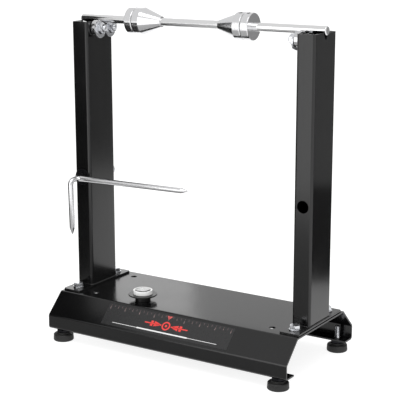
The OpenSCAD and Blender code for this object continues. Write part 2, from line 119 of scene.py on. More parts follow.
FLOOR_HALF = 30
FLOOR_GLOW = 0.85          # the table is lit from below too, so that it looks white
floor_paint, tree, shader = new_material("matt_white_table", Roughness=0.9)
shader.inputs["Base Color"].default_value = linear("#a0a0a0")
shader.inputs["Emission Color"].default_value = linear("#ffffff")
shader.inputs["Emission Strength"].default_value = FLOOR_GLOW
floor_signs = ((-1, -1), (1, -1), (1, 1), (-1, 1))
panel("floor", [(x * FLOOR_HALF, y * FLOOR_HALF, 0) for x, y in floor_signs], floor_paint)

# Cards stand out of the camera's sight and shape what the gloss mirrors. Each has two ends on
# the floor, its lower and upper edge, a colour and a glow. Only the first two take light away.
CARDS = {"black_card": ((-0.60, -1.02), (-1.45, 0.15), (0, 0.23), "#080808", 0),
         "grey_card": ((0.22, 1.10), (1.35, 0.62), (0, 1.1), "#8a8a8a", 0),
         "left_card": ((-0.36, -0.22), (-0.36, -0.04), (0, 0.35), "#080808", 0),
         "left_tall_card": ((-0.36, -0.32), (-0.36, -0.22), (0, 0.44), "#080808", 0),
         "cone_card": ((-0.25, -0.115), (-0.25, -0.035), (0.36, 0.56), "#0c0c0c", 0),
         "low_card": ((0.30, 0.43), (0.56, 0.25), (0, 0.17), "#2a2a2a", 0),
         "white_card": ((-0.56, -1.02), (0.10, -1.10), (0, 1.1), "#ffffff", 1.0),
         "back_card": ((-1.50, 1.0), (-0.66, 1.0), (0.08, 1.2), "#ffffff", 0.45)}
# The apron is a grey sheet just over the floor in front of the stand, seen only in reflections. It is
# painted shade: it stands in for the stand's shadow on the floor in front, as the gloss mirrors it.
SHADE_APRON = ((-0.80, -0.80), (0.30, -0.112), 0.0005)
LIGHT_TAKERS = ("black_card", "grey_card")


def unseen(card, takes_light):
    card.visible_camera = False
    card.visible_diffuse = takes_light
    card.visible_shadow = takes_light


for name, (near, far, (foot, top), colour, glow) in CARDS.items():
    paint, tree, shader = new_material(name, Roughness=1.0, Emission_Strength=glow)
    shader.inputs["Base Color"].default_value = linear(colour)
    shader.inputs["Emission Color"].default_value = linear(colour)
    corners = [(*near, foot), (*far, foot), (*far, top), (*near, top)]
    unseen(panel(name, corners, paint), name in LIGHT_TAKERS)
# Painted shade: the apron's grey is the shaded floor in front of the stand as the gloss mirrors it. It
# takes no light away and casts no shadow.
paint, tree, shader = new_material("painted_shade_apron", Roughness=1.0)
shader.inputs["Base Color"].default_value = linear("#b2b2b2")
near, far, height = SHADE_APRON
unseen(panel("painted_shade_apron", [(near[0], near[1], height), (far[0], near[1], height),
                       (far[0], far[1], height), (near[0], far[1], height)], paint), False)

# The room: white all round. A camera ray that passes over the floor's edge sees plain white.
ROOM_GLOW = 1.05
world = bpy.data.worlds.new("studio")
world.use_nodes = True
scene.world = world
tree = world.node_tree
tree.nodes.clear()
seen = add_node(tree, "ShaderNodeLightPath").outputs["Is Camera Ray"]
room = add_node(tree, "ShaderNodeMapRange", {"Value": seen},
                {"To Min": ROOM_GLOW, "To Max": 1.0}).outputs[0]
light = add_node(tree, "ShaderNodeBackground", {"Strength": room})
add_node(tree, "ShaderNodeOutputWorld", {"Surface": light.outputs[0]})

SOFTBOX_SIZE = 1.6
SOFTBOX_POWER = 22
SOFTBOX_PLACE = (0.7, -0.9, 2.2)
SOFTBOX_AIM = (0, 0, 0.25)
softbox_data = bpy.data.lights.new("softbox", "AREA")
softbox_data.size = SOFTBOX_SIZE
softbox_data.energy = SOFTBOX_POWER
softbox = bpy.data.objects.new("softbox", softbox_data)
softbox.location = SOFTBOX_PLACE
from_aim = Vector(SOFTBOX_PLACE) - Vector(SOFTBOX_AIM)
softbox.rotation_euler = from_aim.to_track_quat("Z", "Y").to_euler()
scene.collection.objects.link(softbox)


# ---- Base channel ---------------------------------------------------------------------------
# Laser-cut mild steel sheet, bent six times into a channel with sloped sides and inward lips,
# then coated with semi-gloss black powder, which rounds every cut edge a little.
SHEET_EDGE = 0.2 * MM      # rounding of the sheet's cut edges, small so that holes keep their wall
SHARP_ANGLE = 15           # an edge sharper than this, in degrees, is a real edge
COAT_PEEL = 1.6 * MM       # size of the dimples of the coat's orange peel
COAT_PEEL_DEPTH = 0.05 * MM
COAT_CLOUD = 60 * MM       # size of the slow changes of gloss
MERGE_DISTANCE = 0.001 * MM
FLAT_ANGLE = 0.3           # faces within this angle, in degrees, are one flat face


def powder_coat():
    """Baked polyester powder: deep black, glossy at a low angle, with a faint orange peel."""
    material, tree, shader = new_material("black_powder_coat", IOR=1.5)
    place = add_node(tree, "ShaderNodeTexCoord").outputs["Object"]
    cloud = add_node(tree, "ShaderNodeTexNoise", {"Vector": place},
                     {"Scale": 1 / COAT_CLOUD, "Detail": 3})
    peel = add_node(tree, "ShaderNodeTexNoise", {"Vector": place},
                    {"Scale": 1 / COAT_PEEL, "Detail": 1.5})
    colour = add_node(tree, "ShaderNodeMix", {"Factor": cloud.outputs["Fac"]}, data_type="RGBA")
    colour.inputs["A"].default_value = linear("#080808")
    colour.inputs["B"].default_value = linear("#0f0f10")
    gloss = add_node(tree, "ShaderNodeMapRange", {"Value": cloud.outputs["Fac"]},
                     {"From Min": 0.3, "From Max": 0.7, "To Min": 0.15, "To Max": 0.21})
    bump = add_node(tree, "ShaderNodeBump", {"Height": peel.outputs["Fac"]},
                    {"Strength": 0.3, "Distance": COAT_PEEL_DEPTH})
    tree.links.new(colour.outputs["Result"], shader.inputs["Base Color"])
    tree.links.new(gloss.outputs["Result"], shader.inputs["Roughness"])
    tree.links.new(bump.outputs["Normal"], shader.inputs["Normal"])
    return material


def applied(obj):
    """The evaluated object's mesh, as a plain mesh with no modifiers."""
    graph = bpy.context.evaluated_depsgraph_get()
    mesh = bpy.data.meshes.new_from_object(obj.evaluated_get(graph), depsgraph=graph)
    obj.modifiers.clear()
    obj.data = mesh
    return mesh


def merged_copy(node):
    """A CAD node's mesh, with its loose triangles merged into flat faces."""
    sheet = bmesh.new()
    sheet.from_mesh(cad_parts[node].data)
    bmesh.ops.remove_doubles(sheet, verts=sheet.verts, dist=MERGE_DISTANCE)
    bmesh.ops.dissolve_limit(sheet, angle_limit=math.radians(FLAT_ANGLE), verts=sheet.verts,
                             edges=sheet.edges)
    return sheet


def rounded(sheet, name, material, edge, segments=2):
    """A piece whose sharp edges are rounded to the radius given by edge."""
    mesh = bpy.data.meshes.new(name)
    sheet.to_mesh(mesh)
    sheet.free()
    mesh.shade_smooth()
    mesh.set_sharp_from_angle(angle=math.radians(SHARP_ANGLE))
    obj = add_object(name, mesh, material)
    bevel = obj.modifiers.new("edge", "BEVEL")
    bevel.width, bevel.segments = edge, segments
    bevel.limit_method, bevel.angle_limit = "ANGLE", math.radians(SHARP_ANGLE)
    bevel.use_clamp_overlap = False
    bevel.harden_normals = True
    applied(obj)
    return obj


def finish_node(node, body, material, edge, segments=2):
    """Puts a rounded copy in a CAD node's place, on the node's own body."""
    piece = rounded(merged_copy(node), node + "_finished", material, edge, segments)
    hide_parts(node)
    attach(piece, body)
    return piece


coat = powder_coat()
finish_node("base_channel", "root", coat, SHEET_EDGE)


# ---- Posts and foot plates --------------------------------------------------------------------
# Rectangular steel tube, notched at the top for the shaft, welded to a flat foot plate and
# powder coated with the base.
POST_EDGE = 0.3 * MM
for side in ("left", "right"):
    finish_node("foot_plate_" + side, "root", coat, SHEET_EDGE)
    finish_node("post_" + side, "root", coat, POST_EDGE)


# A fillet weld runs round the foot of each tube: a small bead with the ripples of the torch.
WELD_LEG = 2.2 * MM
WELD_RIPPLE = 2.6 * MM     # distance between ripples
WELD_RIPPLE_DEPTH = 0.25 * MM
WELD_CORNER = 4 * MM       # the tube's corner radius


def tree_with(name, sockets):
    """A Geometry Nodes tree with named inputs, each given as (name, kind, value)."""
    tree = bpy.data.node_groups.new(name, "GeometryNodeTree")
    tree.interface.new_socket("Geometry", in_out="OUTPUT", socket_type="NodeSocketGeometry")
    for title, kind, value in sockets:
        socket = tree.interface.new_socket(title, in_out="INPUT", socket_type="NodeSocket" + kind)
        if value is not None:
            socket.default_value = value
    given = tree.nodes.new("NodeGroupInput").outputs
    out = tree.nodes.new("NodeGroupOutput").inputs
    return tree, given, out


def grown(name, tree, **values):
    """The plain mesh that a Geometry Nodes tree makes with these input values."""
    obj = add_object(name, bpy.data.meshes.new(name))
    modifier = obj.modifiers.new("nodes", "NODES")
    modifier.node_group = tree
    sockets = {s.name: s.identifier for s in tree.interface.items_tree if s.in_out == "INPUT"}
    for title, value in values.items():
        modifier[sockets[title.replace("_", " ")]] = value
    applied(obj)
    return obj


def weld_tree():
    """A bead round a rounded rectangle: a thin tube whose radius swells at every ripple."""
    tree, given, out = tree_with("weld_bead", [
        ("Width", "Float", 0.03), ("Depth", "Float", 0.06), ("Corner", "Float", 0.004),
        ("Leg", "Float", 0.002), ("Ripple", "Float", 0.002), ("Ripple depth", "Float", 0.0002),
        ("Material", "Material", None)])
    outline = add_node(tree, "GeometryNodeCurvePrimitiveQuadrilateral",
                       {"Width": given["Width"], "Height": given["Depth"]})
    rounded_outline = add_node(tree, "GeometryNodeFilletCurve",
                               {"Curve": outline.outputs[0], "Radius": given["Corner"]}, {"Count": 6},
                               mode="POLY")
    step = add_node(tree, "ShaderNodeMath", {0: given["Ripple"]}, {1: 0.2}, operation="MULTIPLY")
    fine = add_node(tree, "GeometryNodeResampleCurve",
                    {"Curve": rounded_outline.outputs[0], "Length": step.outputs[0]}, mode="LENGTH")
    along = add_node(tree, "GeometryNodeSplineParameter").outputs["Length"]
    turns = add_node(tree, "ShaderNodeMath", {0: along, 1: given["Ripple"]}, operation="DIVIDE")
    phase = add_node(tree, "ShaderNodeMath", {0: turns.outputs[0]}, {1: math.tau},
                     operation="MULTIPLY")
    wave = add_node(tree, "ShaderNodeMath", {0: phase.outputs[0]}, operation="SINE")
    swell = add_node(tree, "ShaderNodeMath",
                     {0: wave.outputs[0], 1: given["Ripple depth"], 2: given["Leg"]},
                     operation="MULTIPLY_ADD")
    profile = add_node(tree, "GeometryNodeCurvePrimitiveCircle", (),
                       {"Resolution": 10, "Radius": 1.0})
    bead = add_node(tree, "GeometryNodeCurveToMesh",
                    {"Curve": fine.outputs[0], "Profile Curve": profile.outputs[0],
                     "Scale": swell.outputs[0]})
    painted = add_node(tree, "GeometryNodeSetMaterial",
                       {"Geometry": bead.outputs[0], "Material": given["Material"]})
    whole = add_node(tree, "GeometryNodeRealizeInstances", {"Geometry": painted.outputs[0]})
    tree.links.new(whole.outputs[0], out["Geometry"])
    return tree


bead_tree = weld_tree()
for side in ("left", "right"):
    lowest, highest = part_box("post_" + side)
    bead = grown("weld_" + side, bead_tree, Width=highest.x - lowest.x, Depth=highest.y - lowest.y,
                 Corner=WELD_CORNER, Leg=WELD_LEG / 2, Ripple=WELD_RIPPLE,
                 Ripple_depth=WELD_RIPPLE_DEPTH / 2, Material=coat)
    middle = (lowest + highest) / 2
    bead.data.transform(Matrix.Translation((middle.x, middle.y, lowest.z + WELD_LEG / 4)))
    bead.data.shade_smooth()
    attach(bead, "root")


# ---- Fasteners --------------------------------------------------------------------------------
# M8 hex bolts, nuts and washers of cold-forged steel with bright zinc plate, and the studs of
# the feet. Plating leaves a soft cloudy shine and the threads are rolled.
THREAD_PITCH = 1.25 * MM
THREAD_DEPTH = 0.65 * MM
THREAD_CHAMFER = 1.0 * MM
ZINC_CLOUD = 3 * MM
ZINC_SCRATCH = 0.25 * MM   # drawn coarser than the real grain, so that it shows
SMALL_EDGE = 0.2 * MM      # rounding of nuts, washers and other small parts
HEAD_EDGE = 0.15 * MM
SHANK_LAP = 0.2 * MM       # gap from a head to its threaded shank
THREAD_SHARP = 50          # degrees
BOLT_RADIUS = 3.95 * MM
TUBE_WALL = 2 * MM
HEAD_STUB = 0.02 * MM      # shank left on a head, so that its underside stays whole


def zinc_plate():
    """Bright zinc on forged steel: a cool white metal with cloudy gloss and fine rub marks."""
    material, tree, shader = new_material("bright_zinc_plate", Metallic=1.0)
    place = add_node(tree, "ShaderNodeTexCoord").outputs["Object"]
    cloud = add_node(tree, "ShaderNodeTexNoise", {"Vector": place},
                     {"Scale": 1 / ZINC_CLOUD, "Detail": 3})
    stretched = add_node(tree, "ShaderNodeMapping", {"Vector": place}, {"Scale": (0.15, 1, 0.6)})
    scratch = add_node(tree, "ShaderNodeTexNoise", {"Vector": stretched.outputs[0]},
                       {"Scale": 1 / ZINC_SCRATCH, "Detail": 2})
    colour = add_node(tree, "ShaderNodeMix", {"Factor": cloud.outputs["Fac"]}, data_type="RGBA")
    colour.inputs["A"].default_value = linear("#c6c8cc")
    colour.inputs["B"].default_value = linear("#e6e7ea")
    gloss = add_node(tree, "ShaderNodeMapRange", {"Value": cloud.outputs["Fac"]},
                     {"From Min": 0.3, "From Max": 0.7, "To Min": 0.16, "To Max": 0.3})
    bump = add_node(tree, "ShaderNodeBump", {"Height": scratch.outputs["Fac"]},
                    {"Strength": 0.35, "Distance": 0.02 * MM})
    tree.links.new(colour.outputs["Result"], shader.inputs["Base Color"])
    tree.links.new(gloss.outputs["Result"], shader.inputs["Roughness"])
    tree.links.new(bump.outputs["Normal"], shader.inputs["Normal"])
    return material


def thread_tree():
    """A rod along Z with a helical thread: rings of points whose radius follows the flank."""
    tree, given, out = tree_with("rolled_thread", [
        ("Length", "Float", 0.02), ("Radius", "Float", 0.004), ("Pitch", "Float", 0.00125),
        ("Thread depth", "Float", 0.0006), ("Chamfer", "Float", 0.001), ("Material", "Material", None)])
    rows = add_node(tree, "ShaderNodeMath", {0: given["Length"], 1: given["Pitch"]},
                    operation="DIVIDE")
    row_count = add_node(tree, "ShaderNodeMath", {0: rows.outputs[0]}, {1: 6.0},
                         operation="MULTIPLY")
    rod = add_node(tree, "GeometryNodeMeshCylinder",
                   {"Radius": given["Radius"], "Depth": given["Length"],
                    "Side Segments": row_count.outputs[0]},
                   {"Vertices": 28})
    place = add_node(tree, "ShaderNodeSeparateXYZ",
                     {"Vector": add_node(tree, "GeometryNodeInputPosition").outputs[0]}).outputs
    angle = add_node(tree, "ShaderNodeMath", {0: place["Y"], 1: place["X"]}, operation="ARCTAN2")
    turn = add_node(tree, "ShaderNodeMath", {0: angle.outputs[0]}, {1: math.tau},
                    operation="DIVIDE")
    rise = add_node(tree, "ShaderNodeMath", {0: place["Z"], 1: given["Pitch"]}, operation="DIVIDE")
    phase = add_node(tree, "ShaderNodeMath", {0: rise.outputs[0], 1: turn.outputs[0]},
                     operation="SUBTRACT")
    flank = add_node(tree, "ShaderNodeMath", {0: phase.outputs[0]}, {1: 0.5}, operation="PINGPONG")
    groove = add_node(tree, "ShaderNodeMath", {0: flank.outputs[0], 1: given["Thread depth"]},
                      operation="MULTIPLY")
    depth = add_node(tree, "ShaderNodeMath", {0: groove.outputs[0]}, {1: 2.0},
                     operation="MULTIPLY")
    half = add_node(tree, "ShaderNodeMath", {0: given["Length"]}, {1: 0.5}, operation="MULTIPLY")
    height = add_node(tree, "ShaderNodeMath", {0: place["Z"]}, operation="ABSOLUTE")
    to_end = add_node(tree, "ShaderNodeMath", {0: half.outputs[0], 1: height.outputs[0]},
                      operation="SUBTRACT")
    cut = add_node(tree, "ShaderNodeMath", {0: given["Chamfer"], 1: to_end.outputs[0]},
                   operation="SUBTRACT")
    inset = add_node(tree, "ShaderNodeMath", {0: depth.outputs[0], 1: cut.outputs[0]},
                     operation="MAXIMUM")
    share = add_node(tree, "ShaderNodeMath", {0: inset.outputs[0], 1: given["Radius"]},
                     operation="DIVIDE")
    keep = add_node(tree, "ShaderNodeMath", {1: share.outputs[0]}, {0: 1.0}, operation="SUBTRACT")
    flat = add_node(tree, "ShaderNodeCombineXYZ", {"X": place["X"], "Y": place["Y"]})
    moved = add_node(tree, "ShaderNodeVectorMath", {0: flat.outputs[0], "Scale": keep.outputs[0]},
                     operation="SCALE")
    lift = add_node(tree, "ShaderNodeCombineXYZ", {"Z": place["Z"]})
    target = add_node(tree, "ShaderNodeVectorMath", {0: moved.outputs[0], 1: lift.outputs[0]},
                      operation="ADD")
    shaped = add_node(tree, "GeometryNodeSetPosition",
                      {"Geometry": rod.outputs[0], "Position": target.outputs[0]})
    painted = add_node(tree, "GeometryNodeSetMaterial",
                       {"Geometry": shaped.outputs[0], "Material": given["Material"]})
    whole = add_node(tree, "GeometryNodeRealizeInstances", {"Geometry": painted.outputs[0]})
    tree.links.new(whole.outputs[0], out["Geometry"])
    return tree


rolled_thread = thread_tree()


def threaded_rod(name, radius, start, end, material):
    """A threaded rod from start to end, both points in the object's frame."""
    start, end = Vector(start), Vector(end)
    rod = grown(name, rolled_thread, Length=(end - start).length, Radius=radius, Pitch=THREAD_PITCH,
                Thread_depth=THREAD_DEPTH, Chamfer=THREAD_CHAMFER, Material=material)
    turn = (end - start).to_track_quat("Z", "Y").to_matrix().to_4x4()
    rod.data.transform(Matrix.Translation((start + end) / 2) @ turn)
    rod.data.shade_smooth()
    rod.data.set_sharp_from_angle(angle=math.radians(THREAD_SHARP))
    return rod


def joined(name, pieces):
    """One object that holds the meshes of several, which are removed."""
    sheet = bmesh.new()
    for piece in pieces:
        sheet.from_mesh(piece.data)
    mesh = bpy.data.meshes.new(name)
    sheet.to_mesh(mesh)
    sheet.free()
    whole = add_object(name, mesh, pieces[0].data.materials[0])
    for piece in pieces:
        bpy.data.objects.remove(piece)
    return whole


def islands(node):
    """The lowest and highest corner of each separate solid in a CAD node."""
    sheet = merged_copy(node)
    found, waiting = [], set(sheet.verts)
    while waiting:
        edge_of, group = [waiting.pop()], []
        while edge_of:
            vert = edge_of.pop()
            group.append(vert.co.copy())
            for edge in vert.link_edges:
                other = edge.other_vert(vert)
                if other in waiting:
                    waiting.remove(other)
                    edge_of.append(other)
        found.append((Vector([min(c[i] for c in group) for i in range(3)]),
                      Vector([max(c[i] for c in group) for i in range(3)])))
    sheet.free()
    # Sorted by place, because a set gives its vertices in no fixed order
    return sorted(found, key=lambda corners: tuple(corners[0]))


def bolt_heads(node, head_starts, material):
    """The heads of a CAD node's bolts: what lies past each (point, direction) plane."""
    heads = []
    for number, (point, outward) in enumerate(head_starts):
        sheet = merged_copy(node)
        geometry = sheet.verts[:] + sheet.edges[:] + sheet.faces[:]
        bmesh.ops.bisect_plane(sheet, geom=geometry, plane_co=point - outward * HEAD_STUB,
                               plane_no=outward, clear_inner=True)
        bmesh.ops.holes_fill(sheet, edges=sheet.edges)
        heads.append(rounded(sheet, f"head_{number}", material, HEAD_EDGE))
    return heads


zinc = zinc_plate()
for node in ("plate_washers", "plate_nuts", "bearing_spacers", "bearing_shims", "guard_washers",
             "bearing_nuts"):
    finish_node(node, "root", zinc, SMALL_EDGE)

shank_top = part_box("plate_washers")[1].z
parts = bolt_heads("plate_bolts", [(Vector((0, 0, shank_top)), Vector((0, 0, 1)))], zinc)
for lowest, highest in islands("plate_bolts"):
    middle = (lowest + highest) / 2
    parts.append(threaded_rod("shank", BOLT_RADIUS, (middle.x, middle.y, shank_top + SHANK_LAP),
                              (middle.x, middle.y, lowest.z), zinc))
plate_bolts = joined("plate_bolts_threaded", parts)

inner_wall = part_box("post_right")[0].x + TUBE_WALL
parts = bolt_heads("bearing_bolts", [(Vector((side * inner_wall, 0, 0)), Vector((side, 0, 0)))
                                     for side in (-1, 1)], zinc)
for lowest, highest in islands("bearing_bolts"):
    middle = (lowest + highest) / 2
    side = 1 if middle.x > 0 else -1
    tip = min(abs(lowest.x), abs(highest.x))
    root_x = side * (inner_wall + SHANK_LAP)
    parts.append(threaded_rod("shank", BOLT_RADIUS, (root_x, middle.y, middle.z),
                              (side * tip, middle.y, middle.z), zinc))
bearing_bolts = joined("bearing_bolts_threaded", parts)
for piece, node in ((plate_bolts, "plate_bolts"), (bearing_bolts, "bearing_bolts")):
    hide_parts(node)
    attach(piece, "root")


# ---- Ball bearings ----------------------------------------------------------------------------
# Four 608 bearings of hardened chrome steel, ground on every face, with pressed steel shields.
# Each one turns as the shaft rolls on it, and its balls and cage go round at half the speed.
BEARINGS = ("lf", "lr", "rf", "rr")
GRIND_LINE = 0.2 * MM      # drawn coarser than the real grinding lines, so that they show
RING_EDGE = 0.3 * MM


def ground_steel(name, line, colours, roughness, axis_scale=(1, 0, 0)):
    """Steel ground or polished on a lathe: bright, with fine lines that run round the axis."""
    material, tree, shader = new_material(name, Metallic=1.0)
    place = add_node(tree, "ShaderNodeTexCoord").outputs["Object"]
    across = add_node(tree, "ShaderNodeMapping", {"Vector": place}, {"Scale": axis_scale})
    lines = add_node(tree, "ShaderNodeTexNoise", {"Vector": across.outputs[0]},
                     {"Scale": 1 / line, "Detail": 3})
    smear = add_node(tree, "ShaderNodeTexNoise", {"Vector": place}, {"Scale": 40, "Detail": 3})
    colour = add_node(tree, "ShaderNodeMix", {"Factor": lines.outputs["Fac"]}, data_type="RGBA")
    colour.inputs["A"].default_value = linear(colours[0])
    colour.inputs["B"].default_value = linear(colours[1])
    gloss = add_node(tree, "ShaderNodeMapRange", {"Value": smear.outputs["Fac"]},
                     {"From Min": 0.3, "From Max": 0.7, "To Min": roughness[0], "To Max": roughness[1]})
    bump = add_node(tree, "ShaderNodeBump", {"Height": lines.outputs["Fac"]},
                    {"Strength": 0.3, "Distance": 0.01 * MM})
    tree.links.new(colour.outputs["Result"], shader.inputs["Base Color"])
    tree.links.new(gloss.outputs["Result"], shader.inputs["Roughness"])
    tree.links.new(bump.outputs["Normal"], shader.inputs["Normal"])
    return material


chrome_steel = ground_steel("ground_chrome_steel", GRIND_LINE, ("#c4c4c6", "#dededf"), (0.1, 0.2))
shield_steel = ground_steel("pressed_shield_steel", 2 * GRIND_LINE, ("#9c9ca0", "#b6b6ba"), (0.25, 0.4),
                            (1, 1, 1))
for corner in BEARINGS:
    finish_node("outer_ring_" + corner, "ring_" + corner, chrome_steel, RING_EDGE)
    finish_node("inner_ring_" + corner, "root", chrome_steel, SMALL_EDGE)
    for node, finish in (("balls_", chrome_steel), ("shields_", shield_steel)):
        material_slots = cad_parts[node + corner].data.materials
        material_slots.clear()
        material_slots.append(finish)


# ---- Shaft ------------------------------------------------------------------------------------
# A 12 mm silver-steel shaft, centreless ground and polished. It lies loose on the bearings.
SHAFT_LINE = 0.5 * MM      # drawn coarser than the real grinding lines, so that they show
shaft_steel = ground_steel("polished_silver_steel", SHAFT_LINE, ("#dcdcdd", "#efefef"), (0.1, 0.17))
finish_node("shaft", "shaft", shaft_steel, SMALL_EDGE)


# ---- Centring cones and lock collars ----------------------------------------------------------
# Turned from 38 mm aluminium bar. The tool leaves fine rings on every face, and each piece is
# held on the shaft by a black grub screw.
LATHE_FEED = 0.35 * MM     # distance between tool marks, drawn a little coarse
CONE_EDGE = 0.25 * MM
shaft_low, shaft_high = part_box("shaft")
shaft_z = (shaft_low.z + shaft_high.z) / 2


def turned_aluminium():
    """Turned bar: the height follows distance along the axis plus distance from it, so the
    tool's rings run round the barrel, the taper and the flat faces alike."""
    material, tree, shader = new_material("turned_aluminium", Metallic=1.0)
    place = add_node(tree, "ShaderNodeTexCoord").outputs["Object"]
    centred = add_node(tree, "ShaderNodeMapping", {"Vector": place},
                       {"Location": (0, 0, -shaft_z)})
    axes = add_node(tree, "ShaderNodeSeparateXYZ", {"Vector": centred.outputs[0]}).outputs
    flat = add_node(tree, "ShaderNodeCombineXYZ", {"X": axes["Y"], "Y": axes["Z"]})
    radius = add_node(tree, "ShaderNodeVectorMath", {0: flat.outputs[0]}, operation="LENGTH")
    path = add_node(tree, "ShaderNodeMath", {0: axes["X"], 1: radius.outputs["Value"]},
                    operation="ADD")
    rings = add_node(tree, "ShaderNodeTexNoise", {"W": path.outputs[0]},
                     {"Scale": 1 / LATHE_FEED, "Detail": 2}, noise_dimensions="1D")
    smear = add_node(tree, "ShaderNodeTexNoise", {"Vector": place}, {"Scale": 60, "Detail": 3})
    colour = add_node(tree, "ShaderNodeMix", {"Factor": rings.outputs["Fac"]}, data_type="RGBA")
    colour.inputs["A"].default_value = linear("#d2d2d4")
    colour.inputs["B"].default_value = linear("#ededee")
    gloss = add_node(tree, "ShaderNodeMapRange", {"Value": smear.outputs["Fac"]},
                     {"From Min": 0.3, "From Max": 0.7, "To Min": 0.1, "To Max": 0.18})
    bump = add_node(tree, "ShaderNodeBump", {"Height": rings.outputs["Fac"]},
                    {"Strength": 0.5, "Distance": 0.03 * MM})
    tree.links.new(colour.outputs["Result"], shader.inputs["Base Color"])
    tree.links.new(gloss.outputs["Result"], shader.inputs["Roughness"])
    tree.links.new(bump.outputs["Normal"], shader.inputs["Normal"])
    return material


def black_oxide():
    """Black oxide on steel: blue-black, with a satin, slightly oily shine."""
    material, tree, shader = new_material("black_oxide_steel", Metallic=1.0)
    place = add_node(tree, "ShaderNodeTexCoord").outputs["Object"]
    cloud = add_node(tree, "ShaderNodeTexNoise", {"Vector": place},
                     {"Scale": 1 / (2 * MM), "Detail": 4})
    colour = add_node(tree, "ShaderNodeMix", {"Factor": cloud.outputs["Fac"]}, data_type="RGBA")
    colour.inputs["A"].default_value = linear("#1c1c1e")
    colour.inputs["B"].default_value = linear("#303033")
    gloss = add_node(tree, "ShaderNodeMapRange", {"Value": cloud.outputs["Fac"]},
                     {"To Min": 0.3, "To Max": 0.5})
    tree.links.new(colour.outputs["Result"], shader.inputs["Base Color"])
    tree.links.new(gloss.outputs["Result"], shader.inputs["Roughness"])
    return material


aluminium = turned_aluminium()
oxide = black_oxide()
for side in ("left", "right"):
    for kind in ("cone", "collar"):
        piece = f"{kind}_{side}"
        finish_node(piece, piece, aluminium, CONE_EDGE)
        finish_node(f"{kind}_screw_{side}", piece, oxide, HEAD_EDGE)


# ---- Pointer ----------------------------------------------------------------------------------
# An 8 mm bright-drawn rod, bent twice and pointed at both ends, fixed in a black pivot pin whose
# stem passes through the left post to a washer and a fluted clamp nut.
DRAWN_LINE = 0.4 * MM
ROD_EDGE = 0.1 * MM
PIN_EDGE = 0.3 * MM
rod_steel = ground_steel("bright_drawn_steel", DRAWN_LINE, ("#cfcfd1", "#ececed"), (0.12, 0.22),
                         (0.1, 1, 0.1))
finish_node("pointer_rod", "pointer", rod_steel, ROD_EDGE)
finish_node("pointer_pin", "pointer", oxide, PIN_EDGE)
finish_node("pointer_washer", "pointer", zinc, SMALL_EDGE)
finish_node("clamp_nut", "clamp_nut", zinc, SMALL_EDGE)


# ---- Levelling feet ---------------------------------------------------------------------------
# Moulded rubber feet on M8 zinc-plated studs, with a black lock nut under each lip.
FEET = ("fl", "fr", "rl", "rr")
RUBBER_GRAIN = 0.5 * MM
MOULD_EDGE = 0.5 * MM      # rounding of moulded rubber and plastic


def moulded_rubber():
    """Black nitrile rubber from a steel mould: matt, with a fine even grain."""
    material, tree, shader = new_material("moulded_rubber", IOR=1.52)
    place = add_node(tree, "ShaderNodeTexCoord").outputs["Object"]
    grain = add_node(tree, "ShaderNodeTexNoise", {"Vector": place},
                     {"Scale": 1 / RUBBER_GRAIN, "Detail": 3})
    cloud = add_node(tree, "ShaderNodeTexNoise", {"Vector": place},
                     {"Scale": 1 / (9 * MM), "Detail": 2})
    colour = add_node(tree, "ShaderNodeMix", {"Factor": cloud.outputs["Fac"]}, data_type="RGBA")
    colour.inputs["A"].default_value = linear("#0c0c0c")
    colour.inputs["B"].default_value = linear("#1a1a19")
    gloss = add_node(tree, "ShaderNodeMapRange", {"Value": cloud.outputs["Fac"]},
                     {"To Min": 0.5, "To Max": 0.75})
    bump = add_node(tree, "ShaderNodeBump", {"Height": grain.outputs["Fac"]},
                    {"Strength": 0.5, "Distance": 0.06 * MM})
    tree.links.new(colour.outputs["Result"], shader.inputs["Base Color"])
    tree.links.new(gloss.outputs["Result"], shader.inputs["Roughness"])
    tree.links.new(bump.outputs["Normal"], shader.inputs["Normal"])
    return material


rubber = moulded_rubber()
for corner in FEET:
    body = "foot_" + corner
    finish_node(body, body, rubber, MOULD_EDGE, segments=3)
    lowest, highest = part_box("stud_" + corner)
    middle = (lowest + highest) / 2
    stud = threaded_rod(f"stud_{corner}_threaded", BOLT_RADIUS, (middle.x, middle.y, lowest.z),
                        (middle.x, middle.y, highest.z), zinc)
    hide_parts("stud_" + corner)
    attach(stud, body)
finish_node("lock_nuts", "root", oxide, SMALL_EDGE)


# ---- Bull's-eye level -------------------------------------------------------------------------
# A moulded black stand with a white cup of spirit under a clear lens, and a printed ring that
# the bubble is brought into.
def moulded_plastic(name, colours, roughness):
    """Injection-moulded ABS: even colour, soft gloss and the faint flow marks of the mould."""
    material, tree, shader = new_material(name, IOR=1.5)
    place = add_node(tree, "ShaderNodeTexCoord").outputs["Object"]
    flow = add_node(tree, "ShaderNodeTexNoise", {"Vector": place},
                    {"Scale": 1 / (6 * MM), "Detail": 3})
    grain = add_node(tree, "ShaderNodeTexNoise", {"Vector": place},
                     {"Scale": 1 / (0.4 * MM), "Detail": 2})
    colour = add_node(tree, "ShaderNodeMix", {"Factor": flow.outputs["Fac"]}, data_type="RGBA")
    colour.inputs["A"].default_value = linear(colours[0])
    colour.inputs["B"].default_value = linear(colours[1])
    gloss = add_node(tree, "ShaderNodeMapRange", {"Value": flow.outputs["Fac"]},
                     {"To Min": roughness[0], "To Max": roughness[1]})
    bump = add_node(tree, "ShaderNodeBump", {"Height": grain.outputs["Fac"]},
                    {"Strength": 0.25, "Distance": 0.02 * MM})
    tree.links.new(colour.outputs["Result"], shader.inputs["Base Color"])
    tree.links.new(gloss.outputs["Result"], shader.inputs["Roughness"])
    tree.links.new(bump.outputs["Normal"], shader.inputs["Normal"])
    return material


black_abs = moulded_plastic("black_abs", ("#0b0b0b", "#131313"), (0.25, 0.4))
white_abs = moulded_plastic("white_abs", ("#ececeb", "#f8f8f7"), (0.2, 0.35))
finish_node("level_base", "root", black_abs, MOULD_EDGE, segments=3)
finish_node("level_cup", "root", white_abs, MOULD_EDGE, segments=3)


LATHED_SHARP = 35          # degrees


